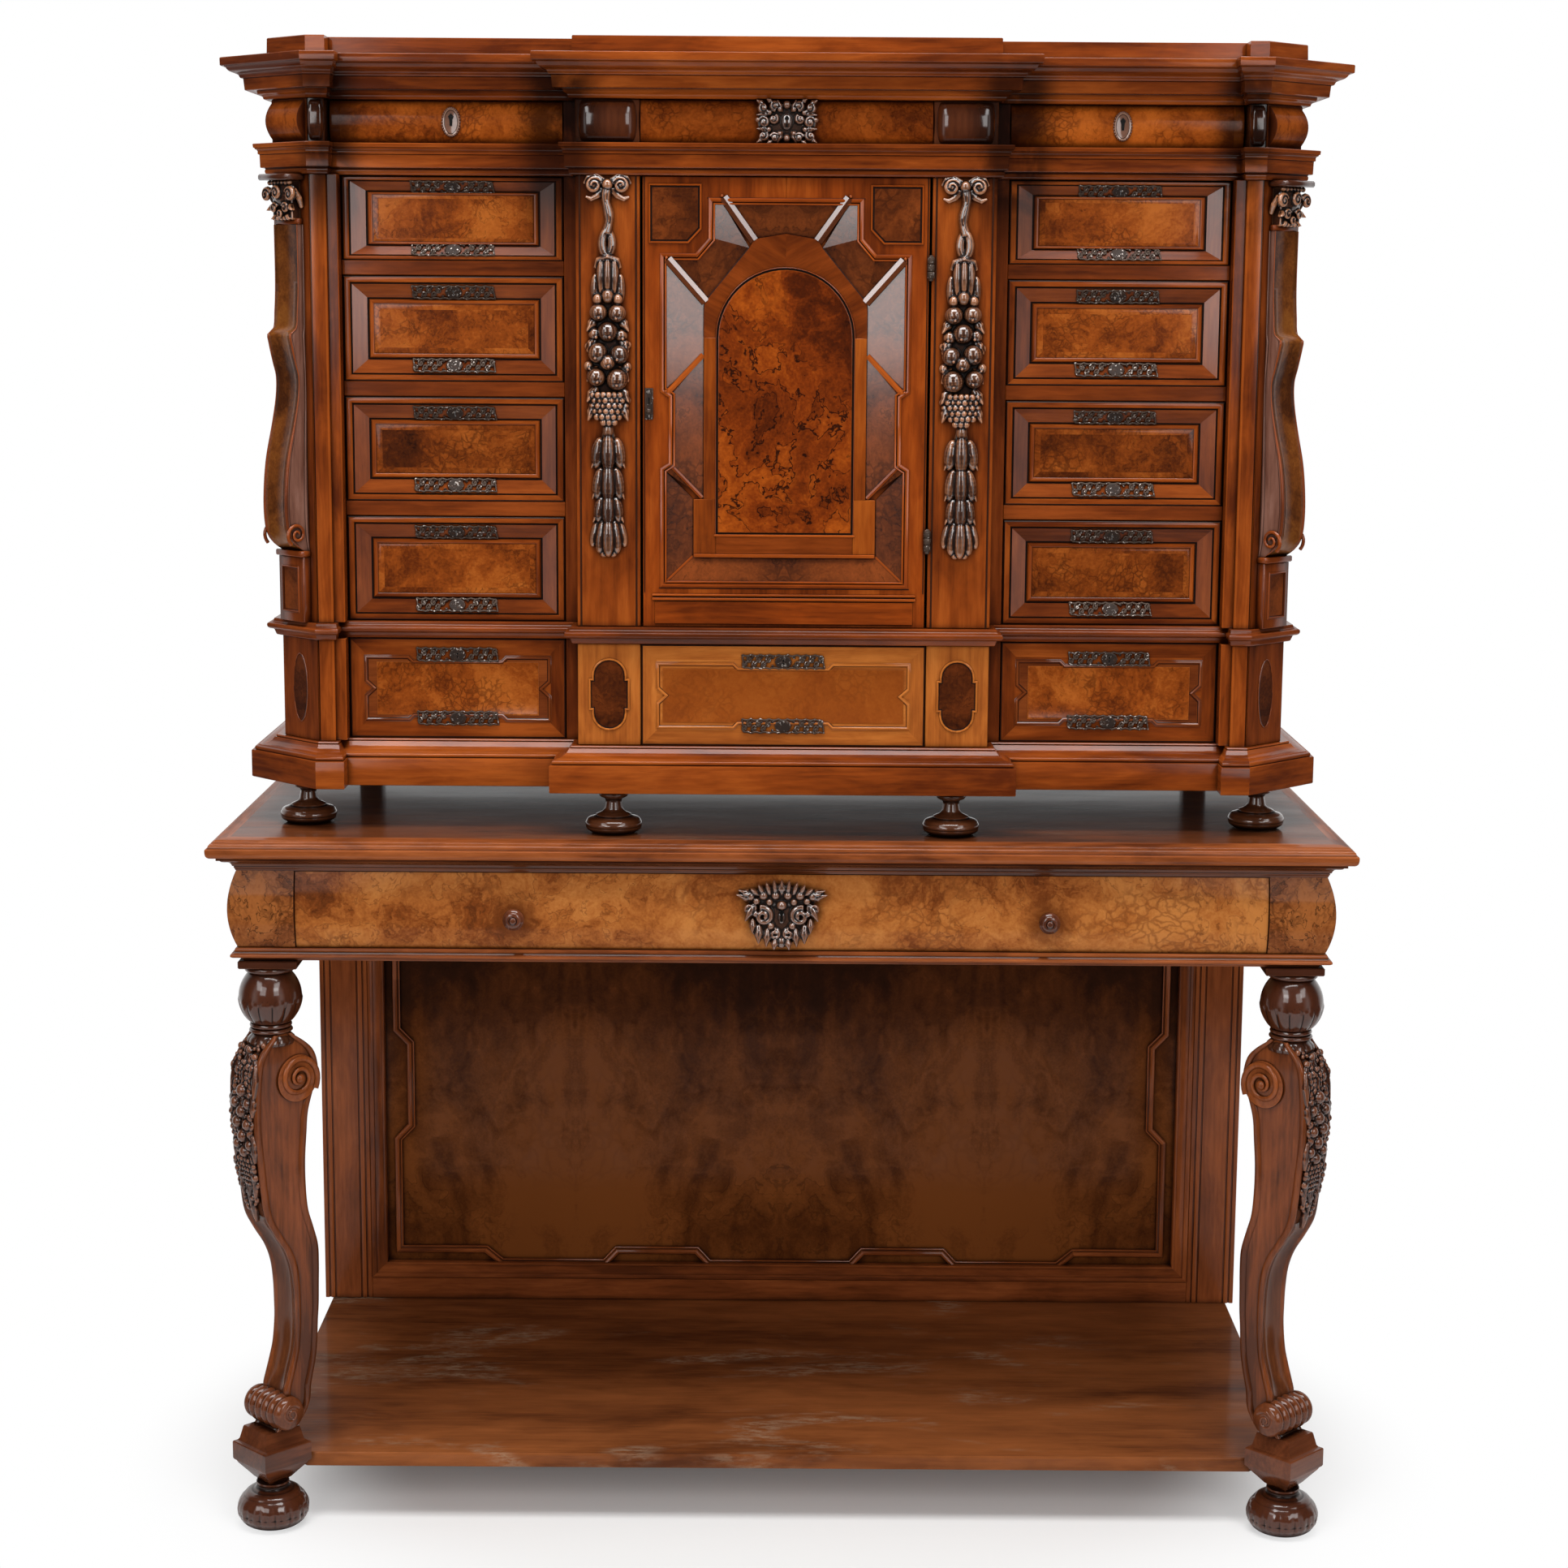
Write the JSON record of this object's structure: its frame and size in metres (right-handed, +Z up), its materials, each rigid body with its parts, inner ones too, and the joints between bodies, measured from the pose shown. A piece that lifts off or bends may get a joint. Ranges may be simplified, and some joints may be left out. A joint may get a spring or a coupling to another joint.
{
  "type": "vargueno cabinet on stand",
  "caption": "Breakfront walnut cabinet with drawers and a hinged cupboard door, standing on a cabriole-leg stand with a wide drawer, a low shelf and a panelled back.",
  "frame": {"origin": "on the floor, below the middle of the bounding box", "axes": "+X to the right as seen from the front, +Y to the back, +Z up"},
  "size_m": [1.5, 0.724, 1.987],
  "materials": {
    "walnut": "warm waxed and polished walnut with burl fields",
    "burl_walnut": "book-matched walnut burl, polished",
    "carved_walnut": "carved and turned dark walnut, worn wax",
    "oak": "plain unpolished carcase wood",
    "iron": "blackened wrought iron, satin"
  },
  "bodies": {
    "case": {"architrave": "walnut", "back_frame": "walnut", "back_mouldings": "walnut", "back_panel": "burl_walnut", "bun_feet": "walnut", "cabinet_feet": "walnut", "cabinet_plinth": "walnut", "cabinet_top": "walnut", "case_boards": "walnut", "corner_consoles": "carved_walnut", "cornice": "walnut", "dust_boards": "oak", "face_frame": "walnut", "foot_blocks": "walnut", "frieze_blocks": "walnut", "garlands": "carved_walnut", "hinge_leaves": "iron", "leg_heads": "carved_walnut", "leg_left": "carved_walnut", "leg_right": "carved_walnut", "partitions": "oak", "shelf": "walnut", "stand_frame": "walnut", "stand_mouldings": "walnut", "stand_top": "walnut", "waist_moulding": "walnut"},
    "base_drawer_centre": {"base_drawer_centre": "walnut", "base_drawer_centre_plates": "iron"},
    "base_drawer_left": {"base_drawer_left": "walnut", "base_drawer_left_plates": "iron"},
    "base_drawer_right": {"base_drawer_right": "walnut", "base_drawer_right_plates": "iron"},
    "frieze_drawer_centre": {"frieze_drawer_centre": "walnut", "frieze_drawer_centre_cartouche": "carved_walnut"},
    "frieze_drawer_left": {"frieze_drawer_left": "walnut", "frieze_drawer_left_escutcheon": "carved_walnut"},
    "frieze_drawer_right": {"frieze_drawer_right": "walnut", "frieze_drawer_right_escutcheon": "carved_walnut"},
    "side_drawer_left_1": {"side_drawer_left_1": "walnut", "side_drawer_left_1_plates": "iron"},
    "side_drawer_left_2": {"side_drawer_left_2": "walnut", "side_drawer_left_2_plates": "iron"},
    "side_drawer_left_3": {"side_drawer_left_3": "walnut", "side_drawer_left_3_plates": "iron"},
    "side_drawer_left_4": {"side_drawer_left_4": "walnut", "side_drawer_left_4_plates": "iron"},
    "side_drawer_right_1": {"side_drawer_right_1": "walnut", "side_drawer_right_1_plates": "iron"},
    "side_drawer_right_2": {"side_drawer_right_2": "walnut", "side_drawer_right_2_plates": "iron"},
    "side_drawer_right_3": {"side_drawer_right_3": "walnut", "side_drawer_right_3_plates": "iron"},
    "side_drawer_right_4": {"side_drawer_right_4": "walnut", "side_drawer_right_4_plates": "iron"},
    "stand_drawer": {"stand_drawer": "walnut", "stand_drawer_knobs": "carved_walnut", "stand_drawer_mask": "carved_walnut"},
    "door": {"door_frame": "walnut", "door_ironwork": "iron", "door_panels": "burl_walnut"}
  },
  "joints": [
    {"name": "base_drawer_centre_slide", "type": "slide", "parent": "case", "child": "base_drawer_centre", "axis": [0, -1, 0], "range_m": [0, 0.33]},
    {"name": "base_drawer_left_slide", "type": "slide", "parent": "case", "child": "base_drawer_left", "axis": [0, -1, 0], "range_m": [0, 0.33]},
    {"name": "base_drawer_right_slide", "type": "slide", "parent": "case", "child": "base_drawer_right", "axis": [0, -1, 0], "range_m": [0, 0.33]},
    {"name": "frieze_drawer_centre_slide", "type": "slide", "parent": "case", "child": "frieze_drawer_centre", "axis": [0, -1, 0], "range_m": [0, 0.33]},
    {"name": "frieze_drawer_left_slide", "type": "slide", "parent": "case", "child": "frieze_drawer_left", "axis": [0, -1, 0], "range_m": [0, 0.33]},
    {"name": "frieze_drawer_right_slide", "type": "slide", "parent": "case", "child": "frieze_drawer_right", "axis": [0, -1, 0], "range_m": [0, 0.33]},
    {"name": "side_drawer_left_1_slide", "type": "slide", "parent": "case", "child": "side_drawer_left_1", "axis": [0, -1, 0], "range_m": [0, 0.33]},
    {"name": "side_drawer_left_2_slide", "type": "slide", "parent": "case", "child": "side_drawer_left_2", "axis": [0, -1, 0], "range_m": [0, 0.33]},
    {"name": "side_drawer_left_3_slide", "type": "slide", "parent": "case", "child": "side_drawer_left_3", "axis": [0, -1, 0], "range_m": [0, 0.33]},
    {"name": "side_drawer_left_4_slide", "type": "slide", "parent": "case", "child": "side_drawer_left_4", "axis": [0, -1, 0], "range_m": [0, 0.33]},
    {"name": "side_drawer_right_1_slide", "type": "slide", "parent": "case", "child": "side_drawer_right_1", "axis": [0, -1, 0], "range_m": [0, 0.33]},
    {"name": "side_drawer_right_2_slide", "type": "slide", "parent": "case", "child": "side_drawer_right_2", "axis": [0, -1, 0], "range_m": [0, 0.33]},
    {"name": "side_drawer_right_3_slide", "type": "slide", "parent": "case", "child": "side_drawer_right_3", "axis": [0, -1, 0], "range_m": [0, 0.33]},
    {"name": "side_drawer_right_4_slide", "type": "slide", "parent": "case", "child": "side_drawer_right_4", "axis": [0, -1, 0], "range_m": [0, 0.33]},
    {"name": "stand_drawer_slide", "type": "slide", "parent": "case", "child": "stand_drawer", "axis": [0, -1, 0], "range_m": [0, 0.4]},
    {"name": "door_hinge", "type": "hinge", "parent": "case", "child": "door", "pos_m": [0.18575, -0.2875, 0], "axis": [0, 0, 1], "range_deg": [0, 105]}
  ]
}
